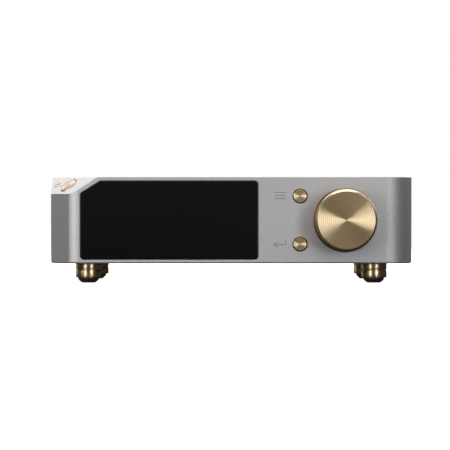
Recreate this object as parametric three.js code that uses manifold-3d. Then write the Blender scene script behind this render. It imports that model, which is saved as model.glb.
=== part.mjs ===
// Desktop digital-to-analogue converter, as an assembly of separate pieces.
// Millimetres, +Z up. +X is to the right as seen from the front, and the front faces -Y.
// The origin is on the surface the object stands on, at the middle of its bounding box.

import * as THREE from 'three';
import { mergeVertices } from 'three/addons/utils/BufferGeometryUtils.js';
import Module from 'manifold-3d';

// ---------------------------------------------------------------- driving dimensions
const BODY_W = 260;            // width of the case
const BODY_D = 175;            // depth of the case
const BODY_H = 61.5;           // height of the case
const FOOT_H = 14.5;           // from the standing surface to the underside of the case
const KNOB_OUT = 26;           // how far the knob's face stands in front of the case
const JACK_OUT = 9;            // how far the phono jacks stand behind the case
const YF = -(KNOB_OUT + BODY_D + JACK_OUT) / 2 + KNOB_OUT;  // front face of the case
const YR = YF + BODY_D;        // rear edge of the case
const Z0 = FOOT_H;             // underside of the case
const Z1 = FOOT_H + BODY_H;    // top of the case
const ZC = (Z0 + Z1) / 2;      // mid height of the case
const HW = BODY_W / 2;
const GAP = 0.3;               // clearance between pieces that touch

const WALL = 4;                // side and top walls
const FRONT_WALL = 7;
const RIGHT_R = 20;            // radius of the right front edge
const REAR_R = 3;              // radius of the rear edges
const BLEND_X0 = -108.7;       // where the front face starts to curve into the left chamfer
const BLEND_X1 = -116.2;       // crease between that curve and the chamfer
const BLEND_Y = 2.7;           // depth of the crease behind the front face
const CHAMFER_TAN = 1.2955;    // depth over width of the left chamfer
const CUT_X = -95.4;           // where the corner cut meets the top edge of the front face
const CUT_SLOPE_X = 0.640;     // rise of the cut per millimetre to the right
const CUT_SLOPE_Y = 0.494;     // rise of the cut per millimetre to the rear

const GLASS_L = -107.9, GLASS_R = 19.3, GLASS_HH = 28.05, GLASS_T = 3.0, GLASS_RAD = 2.8;
const GLASS_CUT_X = -93.5, GLASS_CUT_Z = 19.1;

const KNOB_X = 81.4, KNOB_R = 21.8, KNOB_SKIRT_R = 22.8, KNOB_FACE_R = 20.3, KNOB_BACK = 0.9;
const BTN_X = 49.2, BTN_Z = 17.15, BTN_R = 5.0, BTN_OUT = 1.5, BTN_TRAVEL = 0.6;
const PWR_X = -117.3, PWR_Y = 16.6, PWR_R = 6.6, PWR_OUT = 0.9;
const FOOT_X = 103.2, FOOT_Y0 = 28, FOOT_Y1 = 146, FOOT_R = 9.4, PAD_R = 7.0, PAD_TIP_R = 5.0;

const PLATE_Z0 = Z0 + 0.6, PLATE_Z1 = Z0 + 3.5;      // bottom plate
const PANEL_T = 3, PANEL_Y1 = YR - 2.5, PANEL_Y0 = PANEL_Y1 - PANEL_T;   // rear panel
const BOARD_Z0 = PLATE_Z1 + 4, BOARD_T = 1.6;        // boards on the plate's studs

// ---------------------------------------------------------------- helpers
const wasm = await Module();
wasm.setup();

function solid(geometry) {
  const g = geometry.clone();
  g.deleteAttribute('normal');
  g.deleteAttribute('uv');
  const m = mergeVertices(g, 1e-4);
  const pos = m.attributes.position.array;
  const src = m.index.array;
  const tri = [];
  for (let i = 0; i < src.length; i += 3) {
    const a = src[i], b = src[i + 1], c = src[i + 2];
    if (a !== b && b !== c && a !== c) tri.push(a, b, c);
  }
  let vol = 0;
  const p = (i) => new THREE.Vector3(pos[3 * i], pos[3 * i + 1], pos[3 * i + 2]);
  for (let i = 0; i < tri.length; i += 3) {
    vol += p(tri[i]).dot(p(tri[i + 1]).cross(p(tri[i + 2])));
  }
  if (vol < 0) for (let i = 0; i < tri.length; i += 3) [tri[i + 1], tri[i + 2]] = [tri[i + 2], tri[i + 1]];
  return new wasm.Manifold(new wasm.Mesh({
    numProp: 3, vertProperties: new Float32Array(pos), triVerts: new Uint32Array(tri),
  }));
}

function geometryOf(s) {
  const m = s.getMesh();
  const pos = new Float32Array(m.numProp === 3 ? m.vertProperties : m.vertProperties.filter((_, i) => i % m.numProp < 3));
  const g = new THREE.BufferGeometry();
  g.setAttribute('position', new THREE.BufferAttribute(pos, 3));
  g.setIndex(new THREE.BufferAttribute(new Uint32Array(m.triVerts), 1));
  g.computeVertexNormals();
  return g;
}

const sum = (list) => list.reduce((a, b) => a.add(b));
const cut = (base, list) => list.reduce((a, b) => a.subtract(b), base);

function box(x0, x1, y0, y1, z0, z1) {
  const g = new THREE.BoxGeometry(x1 - x0, y1 - y0, z1 - z0);
  g.translate((x0 + x1) / 2, (y0 + y1) / 2, (z0 + z1) / 2);
  return solid(g);
}

function shapeOf(points, holes = []) {
  const s = new THREE.Shape(points.map(([a, b]) => new THREE.Vector2(a, b)));
  for (const h of holes) s.holes.push(new THREE.Path(h.map(([a, b]) => new THREE.Vector2(a, b))));
  return s;
}

// outline in X and Y, carried from z0 to z1
function prismZ(points, z0, z1) {
  const g = new THREE.ExtrudeGeometry(shapeOf(points), { depth: z1 - z0, bevelEnabled: false });
  g.translate(0, 0, z0);
  return solid(g);
}

// outline in X and Z, carried from y0 to y1
function prismY(points, y0, y1) {
  const g = new THREE.ExtrudeGeometry(shapeOf(points), { depth: y1 - y0, bevelEnabled: false });
  g.rotateX(Math.PI / 2);
  g.translate(0, y1, 0);
  return solid(g);
}

// cylinder along Z, Y or X
function cylZ(x, y, r, z0, z1, n = 24) {
  const g = new THREE.CylinderGeometry(r, r, z1 - z0, n);
  g.rotateX(Math.PI / 2);
  g.translate(x, y, (z0 + z1) / 2);
  return solid(g);
}
function cylY(x, z, r, y0, y1, n = 24) {
  const g = new THREE.CylinderGeometry(r, r, y1 - y0, n);
  g.translate(x, (y0 + y1) / 2, z);
  return solid(g);
}

// profile of [radius, height] turned about Z, or of [radius, y] about Y
function turnZ(profile, x, y, n = 24) {
  const g = new THREE.LatheGeometry(profile.map(([r, h]) => new THREE.Vector2(r, h)), n);
  g.rotateX(Math.PI / 2);
  g.translate(x, y, 0);
  return solid(g);
}
function turnY(profile, x, z, n = 24) {
  const g = new THREE.LatheGeometry(profile.map(([r, h]) => new THREE.Vector2(r, h)), n);
  g.translate(x, 0, z);
  return solid(g);
}

function arc(cx, cy, r, a0, a1, n) {
  const out = [];
  for (let i = 0; i <= n; i++) {
    const a = (a0 + (a1 - a0) * i / n) * Math.PI / 180;
    out.push([cx + r * Math.cos(a), cy + r * Math.sin(a)]);
  }
  return out;
}

// closed outline with each corner rounded to its own radius; points run anticlockwise
function rounded(points, radii, n = 4) {
  const out = [];
  const N = points.length;
  for (let i = 0; i < N; i++) {
    const P = new THREE.Vector2(...points[i]);
    const A = new THREE.Vector2(...points[(i + N - 1) % N]).sub(P).normalize();
    const B = new THREE.Vector2(...points[(i + 1) % N]).sub(P).normalize();
    const r = radii[i];
    if (!r) { out.push(points[i]); continue; }
    const half = Math.acos(Math.max(-1, Math.min(1, A.dot(B)))) / 2;
    const t = r / Math.tan(half);
    const c = P.clone().add(A.clone().add(B).normalize().multiplyScalar(r / Math.sin(half)));
    const s = P.clone().add(A.clone().multiplyScalar(t)).sub(c);
    const e = P.clone().add(B.clone().multiplyScalar(t)).sub(c);
    const a0 = Math.atan2(s.y, s.x);
    let da = Math.atan2(e.y, e.x) - a0;
    while (da > Math.PI) da -= 2 * Math.PI;
    while (da < -Math.PI) da += 2 * Math.PI;
    for (let k = 0; k <= n; k++) {
      out.push([c.x + r * Math.cos(a0 + da * k / n), c.y + r * Math.sin(a0 + da * k / n)]);
    }
  }
  return out;
}

// outline moved inwards by d: each edge is shifted and neighbouring edges are met again
function inset(points, d) {
  const N = points.length;
  const lines = points.map((p, i) => {
    const q = points[(i + 1) % N];
    const dx = q[0] - p[0], dy = q[1] - p[1], l = Math.hypot(dx, dy);
    return { x: p[0] - dy / l * d, y: p[1] + dx / l * d, dx: dx / l, dy: dy / l };
  });
  return lines.map((b, i) => {
    const a = lines[(i + N - 1) % N];
    const det = a.dx * b.dy - a.dy * b.dx;
    if (Math.abs(det) < 1e-6) return [b.x, b.y];
    const t = ((b.x - a.x) * b.dy - (b.y - a.y) * b.dx) / det;
    return [a.x + a.dx * t, a.y + a.dy * t];
  });
}

const model = new THREE.Group();
const look = {
  aluminium: { color: 0xb3b3b5, roughness: 0.45, metalness: 1.0 },
  gold: { color: 0xcfa97c, roughness: 0.3, metalness: 1.0 },
  bronze: { color: 0x8d6a45, roughness: 0.3, metalness: 1.0 },
  glass: { color: 0x060607, roughness: 0.08, metalness: 0.0 },
  rubber: { color: 0x151515, roughness: 0.85, metalness: 0.0 },
  steel: { color: 0x9a9a9c, roughness: 0.35, metalness: 1.0 },
  blackMetal: { color: 0x1b1b1d, roughness: 0.5, metalness: 0.6 },
  blackPlastic: { color: 0x141416, roughness: 0.5, metalness: 0.0 },
  board: { color: 0x123326, roughness: 0.5, metalness: 0.0 },
  brass: { color: 0xc79a4b, roughness: 0.3, metalness: 1.0 },
  copper: { color: 0x9b5a2c, roughness: 0.45, metalness: 0.8 },
};
function put(name, s, finish, parent = model) {
  const mesh = new THREE.Mesh(geometryOf(s), new THREE.MeshStandardMaterial(look[finish]));
  mesh.name = name;
  parent.add(mesh);
  return mesh;
}

// ---------------------------------------------------------------- case
const chamferX = -HW, chamferY = BLEND_Y + (HW + BLEND_X1) * CHAMFER_TAN;
const blendHalf = Math.atan2(BLEND_Y, BLEND_X0 - BLEND_X1);
const blendAngle = 2 * blendHalf * 180 / Math.PI;
const blendR = (BLEND_X0 - BLEND_X1) / Math.sin(2 * blendHalf);

const outer = [
  ...arc(HW - RIGHT_R, YF + RIGHT_R, RIGHT_R, -90, 0, 14),
  ...arc(HW - REAR_R, YR - REAR_R, REAR_R, 0, 90, 4),
  ...arc(-HW + REAR_R, YR - REAR_R, REAR_R, 90, 180, 4),
  [chamferX, YF + chamferY],
  ...arc(BLEND_X0, YF + blendR, blendR, -90 - blendAngle, -90, 8),
];
const innerRear = YR + 5;
const inner = [
  [112, YF + FRONT_WALL], [HW - WALL, YF + FRONT_WALL + 14],
  [HW - WALL, innerRear], [-HW + WALL, innerRear],
  [-HW + WALL, YF + 21.94], [-114.47, YF + FRONT_WALL],
];

// plane of the corner cut, and a block on its outer side
const cutN = new THREE.Vector3(-CUT_SLOPE_X, -CUT_SLOPE_Y, 1).normalize();
const cutAt = new THREE.Vector3(CUT_X, YF, Z1);
const cutTurn = new THREE.Quaternion().setFromUnitVectors(new THREE.Vector3(0, 0, 1), cutN);
function aboveCut(depth) {
  const g = new THREE.BoxGeometry(300, 300, 60);
  g.translate(0, 0, 30 - depth);
  g.applyQuaternion(cutTurn);
  g.translate(cutAt.x, cutAt.y, cutAt.z);
  return solid(g);
}

// frame of the power button: U runs level along the facet, V down it, N out of it
const PWR_Z = Z1 + CUT_SLOPE_X * (PWR_X - CUT_X) + CUT_SLOPE_Y * PWR_Y;
const U = new THREE.Vector3(-CUT_SLOPE_Y, CUT_SLOPE_X, 0).normalize();
const V = new THREE.Vector3().crossVectors(cutN, U).normalize();
const facetFrame = new THREE.Matrix4().makeBasis(U, V, cutN);
facetFrame.setPosition(PWR_X, YF + PWR_Y, PWR_Z);
function onFacet(geometry) {
  geometry.applyMatrix4(facetFrame);
  return solid(geometry);
}
function facetCyl(u, v, r, n0, n1, seg = 24) {
  const g = new THREE.CylinderGeometry(r, r, n1 - n0, seg);
  g.rotateX(Math.PI / 2);
  g.translate(u, v, (n0 + n1) / 2);
  return onFacet(g);
}
function facetBox(u0, u1, v0, v1, n0, n1) {
  const g = new THREE.BoxGeometry(u1 - u0, v1 - v0, n1 - n0);
  g.translate((u0 + u1) / 2, (v0 + v1) / 2, (n0 + n1) / 2);
  return onFacet(g);
}

// outline of the glass, seen from the front (X, Z)
const glassCorners = [
  [GLASS_L, ZC - GLASS_HH], [GLASS_R, ZC - GLASS_HH], [GLASS_R, ZC + GLASS_HH],
  [GLASS_CUT_X, ZC + GLASS_HH], [GLASS_L, ZC + GLASS_CUT_Z],
];
const glassLine = rounded(glassCorners, [GLASS_RAD, GLASS_RAD, GLASS_RAD, 2.0, 2.0]);
const pocketLine = rounded(inset(glassCorners, -GAP), [GLASS_RAD + GAP, GLASS_RAD + GAP, GLASS_RAD + GAP, 2.1, 2.1]);
const LCD = { x0: -99, x1: 13, z0: ZC - 23, z1: ZC + 20 };

const bottomScrews = [[121.5, 34], [-121.5, 44], [121.5, 128], [-121.5, 128]];
const rearScrews = [[121, ZC + 21.5], [-121, ZC + 21.5], [121, ZC - 21.5], [-121, ZC - 21.5]];
const boardPosts = [[40, 0], [109, 20], [109, -20]];
const FRONT_BOARD_Y = YF + 16.2;

{
  let shell = prismZ(outer, Z0, Z1).subtract(aboveCut(0));
  let room = prismZ(inner, Z0 - 5, Z1 - WALL).subtract(aboveCut(5));
  shell = shell.subtract(room);
  // bosses for the bottom screws and the rear screws, posts for the front board and the power switch board
  const add = [];
  for (const [x, d] of bottomScrews) {
    const side = Math.sign(x);
    const a = side * 117, b = side * (HW - WALL + 1);
    add.push(box(Math.min(a, b), Math.max(a, b), YF + d - 4.5, YF + d + 4.5, PLATE_Z1 + GAP, PLATE_Z1 + 14));
  }
  for (const [x, z] of rearScrews) {
    const side = Math.sign(x);
    const a = side * 116.5, b = side * (HW - WALL + 1);
    add.push(box(Math.min(a, b), Math.max(a, b), PANEL_Y0 - GAP - 12, PANEL_Y0 - GAP, z - 4.5, z + 4.5));
  }
  for (const [x, z] of boardPosts) add.push(cylY(x, ZC + z, 3, YF + FRONT_WALL - 1, FRONT_BOARD_Y - GAP, 10));
  add.push(facetCyl(10.8, 0, 2, -13.6, -4, 12), facetCyl(-10.8, 0, 2, -13.6, -4, 12));
  shell = shell.add(sum(add));
  shell = cut(shell, [
    prismY(pocketLine, YF - 1, YF + GLASS_T + 2 * GAP),
    box(LCD.x0 - 2, LCD.x1 + 2, YF + 1, YF + FRONT_WALL + 1, LCD.z0 - 2, LCD.z1 + 2),
    cylY(KNOB_X, ZC, 3.9, YF - 1, YF + FRONT_WALL + 1, 20),
    cylY(BTN_X, ZC + BTN_Z, BTN_R + GAP, YF - 1, YF + FRONT_WALL + 1, 24),
    cylY(BTN_X, ZC - BTN_Z, BTN_R + GAP, YF - 1, YF + FRONT_WALL + 1, 24),
    facetCyl(0, 0, PWR_R + GAP, -8, 2, 24),
    ...bottomScrews.map(([x, d]) => cylZ(x, YF + d, 1.85, PLATE_Z1 - 1, PLATE_Z1 + 10, 8)),
    ...rearScrews.map(([x, z]) => cylY(x, z, 1.85, PANEL_Y0 - 10, PANEL_Y0 + 1, 8)),
  ]);
  put('main_shell', shell, 'aluminium');
}

// base plate with pressed-in studs for the boards
const mainStuds = [[-10, 65], [106, 65], [-10, 155], [106, 155]];
const psuStuds = [[-112, 134], [-46, 134], [-112, 157], [-46, 157]];
const feet = {
  front_left: [-FOOT_X, FOOT_Y0], front_right: [FOOT_X, FOOT_Y0],
  rear_left: [-FOOT_X, FOOT_Y1], rear_right: [FOOT_X, FOOT_Y1],
};
const TRAFO = [-76, 92];
{
  const line = inset([
    [112, YF + FRONT_WALL], [HW - WALL, YF + FRONT_WALL + 14],
    [HW - WALL, YR - 0.6], [-HW + WALL, YR - 0.6],
    [-HW + WALL, YF + 21.94], [-114.47, YF + FRONT_WALL],
  ], GAP);
  let plate = prismZ(line, PLATE_Z0, PLATE_Z1);
  plate = plate.add(sum([...mainStuds, ...psuStuds].map(([x, d]) => cylZ(x, YF + d, 3, PLATE_Z1 - 1, BOARD_Z0 - GAP, 8))));
  plate = cut(plate, [
    ...Object.values(feet).map(([x, d]) => cylZ(x, YF + d, 2.4, PLATE_Z0 - 1, PLATE_Z1 + 1, 12)),
    ...bottomScrews.map(([x, d]) => cylZ(x, YF + d, 1.85, PLATE_Z0 - 1, PLATE_Z1 + 1, 8)),
    ...bottomScrews.map(([x, d]) => cylZ(x, YF + d, 3.15, PLATE_Z0 - 1, PLATE_Z0 + 1.7, 12)),
    cylZ(TRAFO[0], YF + TRAFO[1], 3.0, PLATE_Z0 - 1, PLATE_Z1 + 1, 16),
  ]);
  put('bottom_plate', plate, 'blackMetal');
}
bottomScrews.forEach(([x, d], i) => {
  put(`bottom_screw_${i + 1}`, turnZ([
    [0, PLATE_Z0], [2.8, PLATE_Z0], [2.8, PLATE_Z0 + 1.4], [1.5, PLATE_Z0 + 1.4], [1.5, PLATE_Z1 + 9], [0, PLATE_Z1 + 9],
  ], x, YF + d, 10), 'steel');
});

// ---------------------------------------------------------------- feet
for (const [where, [x, d]] of Object.entries(feet)) {
  const y = YF + d;
  put(`foot_${where}`, turnZ([
    [7.3, 4.7], [FOOT_R - 0.3, 4.7], [FOOT_R, 5.1], [FOOT_R, 9.3], [FOOT_R - 0.8, 9.3], [FOOT_R - 0.8, 10.5], [FOOT_R, 10.5],
    [FOOT_R, PLATE_Z0 - GAP], [2.3, PLATE_Z0 - GAP], [2.3, 10.0], [4.2, 10.0], [4.2, 7.0], [7.3, 7.0], [7.3, 4.7],
  ], x, y, 20), 'bronze');
  put(`pad_${where}`, turnZ([
    [0, 0], [PAD_TIP_R, 0], [PAD_R, 1.6], [PAD_R, 6.7], [0, 6.7],
  ], x, y, 20), 'rubber');
  put(`foot_screw_${where}`, turnZ([
    [0, 7.3], [3.8, 7.3], [3.8, 9.7], [2.0, 9.7], [2.0, 20.0], [0, 20.0],
  ], x, y, 10), 'steel');
}

// ---------------------------------------------------------------- display
put('display_glass', prismY(glassLine, YF, YF + GLASS_T), 'glass');
put('lcd_panel', box(LCD.x0, LCD.x1, YF + GLASS_T + 0.9, YF + FRONT_WALL + 0.3, LCD.z0, LCD.z1), 'blackPlastic');
{
  const y0 = YF + FRONT_WALL + 0.6;
  let b = prismY([
    [-109, ZC - 27], [24, ZC - 27], [24, ZC + 24], [-99, ZC + 24], [-109, ZC + 16.5],
  ], y0, y0 + 1.2);
  // a return flange along the lower edge and one along the right edge, and a slot for the ribbon
  b = b.add(box(-100, 20, y0, y0 + 8, ZC - 27, ZC - 25.8));
  b = b.subtract(box(-60, -20, y0 - 1, y0 + 3, ZC - 15, ZC - 9));
  put('display_bracket', b, 'steel');
}

// ---------------------------------------------------------------- volume knob and its encoder
const kf = YF - KNOB_OUT, kb = YF - KNOB_BACK;
{
  // turned shell with a skirt at the back and a hub; the hub is bored for the shaft, and one radial hole takes the set screw
  let knob = turnY([
    [0, kf], [KNOB_FACE_R, kf], [KNOB_R - 0.4, kf + 0.8], [KNOB_R, kf + 1.9], [KNOB_R, kb - 4.4],
    [KNOB_SKIRT_R, kb - 3.6], [KNOB_SKIRT_R, kb - 0.7], [KNOB_SKIRT_R - 0.6, kb],
    [18.5, kb], [18.5, kf + 7], [9, kf + 7], [9, kb - 6], [3.3, kb - 6], [3.3, kf + 6], [0, kf + 6],
  ], KNOB_X, ZC, 44);
  const hole = new THREE.CylinderGeometry(1.8, 1.8, KNOB_R, 12);
  hole.rotateX(Math.PI / 2);
  hole.translate(KNOB_X, kb - 11, ZC - KNOB_R / 2 - 2);
  knob = knob.subtract(solid(hole));
  put('volume_knob', knob, 'gold');
}
{
  const g = new THREE.CylinderGeometry(1.5, 1.5, 5, 12);
  g.rotateX(Math.PI / 2);
  g.translate(KNOB_X, kb - 11, ZC - 3.3 - 2.5);
  put('knob_set_screw', solid(g), 'steel');
}
const ENC_Y0 = YF + FRONT_WALL + 0.9, ENC_Y1 = FRONT_BOARD_Y - GAP;
{
  // shaft with its flat towards the set screw
  let shaft = turnY([[0, kf + 6.5], [2.6, kf + 6.5], [3.0, kf + 6.9], [3.0, ENC_Y1 - 3.2], [0, ENC_Y1 - 3.2]], KNOB_X, ZC, 16);
  shaft = shaft.subtract(box(KNOB_X - 4, KNOB_X + 4, kf, kb + 0.5, ZC - 4, ZC - 2.5));
  put('encoder_shaft', shaft, 'steel');
  put('encoder_rotor', turnY([[3.3, ENC_Y0 + 1.6], [5.0, ENC_Y0 + 1.6], [5.0, ENC_Y0 + 3.4], [3.3, ENC_Y0 + 3.4], [3.3, ENC_Y0 + 1.6]], KNOB_X, ZC, 16), 'blackPlastic');
  let body = box(KNOB_X - 7, KNOB_X + 7, ENC_Y0, ENC_Y1, ZC - 7, ZC + 7);
  body = body.add(cylY(KNOB_X, ZC, 3.5, YF - 4.0, ENC_Y0 + 0.5, 16));
  // bore for the shaft, and the chamber of the rotor behind it
  body = cut(body, [
    cylY(KNOB_X, ZC, 3.3, YF - 5, ENC_Y1 - 2.0, 16),
    cylY(KNOB_X, ZC, 5.4, ENC_Y0 + 1.3, ENC_Y0 + 3.7, 16),
  ]);
  put('encoder_body', body, 'steel');
  put('encoder_washer', turnY([[3.8, YF - 0.8], [6.4, YF - 0.8], [6.4, YF - GAP], [3.8, YF - GAP], [3.8, YF - 0.8]], KNOB_X, ZC, 16), 'steel');
  const hex = arc(KNOB_X, ZC, 6.35, 0, 300, 5);
  put('encoder_nut', prismY(hex, YF - 3.2, YF - 1.1).subtract(cylY(KNOB_X, ZC, 3.8, YF - 4, YF)), 'steel');
}

// ---------------------------------------------------------------- front board, buttons and switches
{
  let b = box(35, 114, FRONT_BOARD_Y, FRONT_BOARD_Y + BOARD_T, ZC - 25, ZC + 25);
  // a row connector and a driver chip on the rear side
  b = b.add(box(60, 90, FRONT_BOARD_Y + BOARD_T - 0.2, FRONT_BOARD_Y + BOARD_T + 6, ZC - 23, ZC - 17));
  b = b.add(box(44, 54, FRONT_BOARD_Y + BOARD_T - 0.2, FRONT_BOARD_Y + BOARD_T + 1, ZC - 5, ZC + 5));
  put('front_control_board', b, 'board');
}
for (const [name, z] of [['menu', BTN_Z], ['return', -BTN_Z]]) {
  const back = YF + FRONT_WALL + GAP;
  put(`${name}_button`, turnY([
    [0, YF - BTN_OUT], [BTN_R - 0.7, YF - BTN_OUT], [BTN_R, YF - BTN_OUT + 0.7], [BTN_R, back], [6.4, back], [6.4, back + 1.0],
    [1.8, back + 1.0], [1.8, back + 3.2], [0, back + 3.2],
  ], BTN_X, ZC + z, 22), 'gold');
  const top = back + 3.2 + BTN_TRAVEL + 0.3;
  let s = box(BTN_X - 3, BTN_X + 3, top + 1.0, FRONT_BOARD_Y - GAP, ZC + z - 3, ZC + z + 3);
  s = s.add(cylY(BTN_X, ZC + z, 1.7, top, top + 2, 16));
  put(`${name}_switch`, s, 'blackPlastic');
}
{
  const profile = [
    [0, -8.6], [1.8, -8.6], [1.8, -6.5], [8.0, -6.5], [8.0, -5.3], [PWR_R, -5.3],
    [PWR_R, PWR_OUT - 0.7], [PWR_R - 0.7, PWR_OUT], [0, PWR_OUT],
  ].map(([r, h]) => new THREE.Vector2(r, h));
  const g = new THREE.LatheGeometry(profile, 24);
  g.rotateX(Math.PI / 2);
  put('power_button', onFacet(g), 'gold');
  put('power_switch', facetBox(-3, 3, -3, 3, -13.6, -10.9).add(facetCyl(0, 0, 1.7, -11.2, -9.9, 16)), 'blackPlastic');
  put('power_switch_board', facetBox(-12.8, 12.8, -6, 6, -15.5, -13.9), 'board');
}

// ---------------------------------------------------------------- rear panel and connectors
const RB = PANEL_Y1;                       // outer face of the panel
const IEC = [-92, ZC], XLR = { xlr_left: [72, ZC], xlr_right: [103, ZC] };
const PHONO = { rca_left: [44, ZC + 12], rca_right: [44, ZC - 12], coax_in: [20, ZC + 12] };
const OPT = [20, ZC - 12], USB = [-6, ZC - 12];
const iecLine = (hw, hh, c) => [[-hw, -hh], [hw, -hh], [hw, hh - c], [hw - c, hh], [-hw + c, hh], [-hw, hh - c]].map(([x, z]) => [IEC[0] + x, IEC[1] + z]);
{
  let p = box(-HW + WALL + GAP, HW - WALL - GAP, PANEL_Y0, PANEL_Y1, PLATE_Z1 + GAP, Z1 - WALL - GAP);
  p = cut(p, [
    prismY(iecLine(14.1, 10.6, 3), PANEL_Y0 - 1, PANEL_Y1 + 1),
    ...Object.values(XLR).map(([x, z]) => cylY(x, z, 11.9, PANEL_Y0 - 1, PANEL_Y1 + 1, 24)),
    ...Object.values(PHONO).map(([x, z]) => cylY(x, z, 3.9, PANEL_Y0 - 1, PANEL_Y1 + 1, 16)),
    box(OPT[0] - 7.3, OPT[0] + 7.3, PANEL_Y0 - 1, PANEL_Y1 + 1, OPT[1] - 6.3, OPT[1] + 6.3),
    box(USB[0] - 6.3, USB[0] + 6.3, PANEL_Y0 - 1, PANEL_Y1 + 1, USB[1] - 5.7, USB[1] + 5.7),
    ...rearScrews.map(([x, z]) => cylY(x, z, 1.85, PANEL_Y0 - 1, PANEL_Y1 + 1, 8)),
  ]);
  put('rear_panel', p, 'aluminium');
}
rearScrews.forEach(([x, z], i) => {
  put(`rear_screw_${i + 1}`, turnY([
    [0, RB + 2.1], [2.4, RB + 2.1], [2.8, RB + 1.5], [2.8, RB + GAP], [1.5, RB + GAP], [1.5, PANEL_Y0 - 9], [0, PANEL_Y0 - 9],
  ], x, z, 10), 'steel');
});
{
  // mains inlet: flange, body through the panel, a deep socket with three blades
  let b = prismY(iecLine(16.5, 13, 3), RB + GAP, RB + 2.3);
  b = b.add(prismY(iecLine(13.8, 10.3, 3), RB - 19, RB + 1));
  b = b.subtract(prismY(iecLine(12.2, 8.3, 3.5), RB - 15, RB + 3));
  for (const [x, z] of [[-7, -1.9], [7, -1.9], [0, 2.1]]) {
    b = b.add(box(IEC[0] + x - 1, IEC[0] + x + 1, RB - 16, RB - 1.5, IEC[1] + z - 2, IEC[1] + z + 2));
    b = b.add(box(IEC[0] + x - 0.5, IEC[0] + x + 0.5, RB - 26, RB - 18, IEC[1] + z - 2.4, IEC[1] + z + 2.4));
  }
  put('iec_inlet', b, 'blackPlastic');
}
for (const [name, [x, z]] of Object.entries(XLR)) {
  const w = 13, h = 15.5;
  const line = rounded([[x - w, z - h], [x + w, z - h], [x + w, z + h], [x - w, z + h]], [2.5, 2.5, 2.5, 2.5], 3);
  let b = prismY(line, RB + GAP, RB + 2.3);
  b = b.add(cylY(x, z, 11.5, RB - 16, RB + 1, 20));
  b = b.subtract(cylY(x, z, 8.0, RB - 12, RB + 3, 24));
  for (const [px, pz] of [[-4.9, 0], [4.9, 0], [0, -4.9]]) {
    b = b.add(cylY(x + px, z + pz, 1.2, RB - 13, RB - 0.5, 8));
    b = b.add(cylY(x + px, z + pz, 0.9, RB - 21, RB - 15, 6));
  }
  // holes for the two flange screws
  b = cut(b, [cylY(x - 9.5, z + 12, 1.6, RB - 1, RB + 4, 8), cylY(x + 9.5, z - 12, 1.6, RB - 1, RB + 4, 8)]);
  put(name, b, 'blackMetal');
}
for (const [name, [x, z]] of Object.entries(PHONO)) {
  // blind bore for the pin, grounded collar, flange, and the threaded rear with its solder pin
  put(name, turnY([
    [0, RB + 1.5], [1.7, RB + 1.5], [1.7, YR + JACK_OUT], [3.7, YR + JACK_OUT], [4.15, YR + JACK_OUT - 0.5], [4.15, RB + 2.2],
    [6.2, RB + 2.2], [6.2, RB + GAP], [3.5, RB + GAP], [3.5, RB - 14], [1.0, RB - 14], [1.0, RB - 15], [0, RB - 15],
  ], x, z, 16), 'brass');
}
{
  let b = box(OPT[0] - 7, OPT[0] + 7, RB - 12, RB + 0.8, OPT[1] - 6, OPT[1] + 6);
  b = b.subtract(prismY([[-4.4, -4.4], [4.4, -4.4], [4.4, 2.6], [2.6, 4.4], [-2.6, 4.4], [-4.4, 2.6]].map(([a, c]) => [OPT[0] + a, OPT[1] + c]), RB - 9, RB + 2));
  b = b.add(cylY(OPT[0], OPT[1], 1.1, RB - 10, RB - 6, 12));
  put('optical_in', b, 'blackPlastic');
}
{
  let b = box(USB[0] - 6, USB[0] + 6, RB - 15, RB + 0.8, USB[1] - 5.4, USB[1] + 5.4);
  b = b.subtract(prismY([[-4.3, -3.9], [4.3, -3.9], [4.3, 2.2], [2.7, 3.9], [-2.7, 3.9], [-4.3, 2.2]].map(([a, c]) => [USB[0] + a, USB[1] + c]), RB - 10, RB + 2));
  b = b.add(box(USB[0] - 2.8, USB[0] + 2.8, RB - 11, RB - 1, USB[1] - 1.6, USB[1] + 1.4));
  put('usb_b_port', b, 'steel');
}

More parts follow.
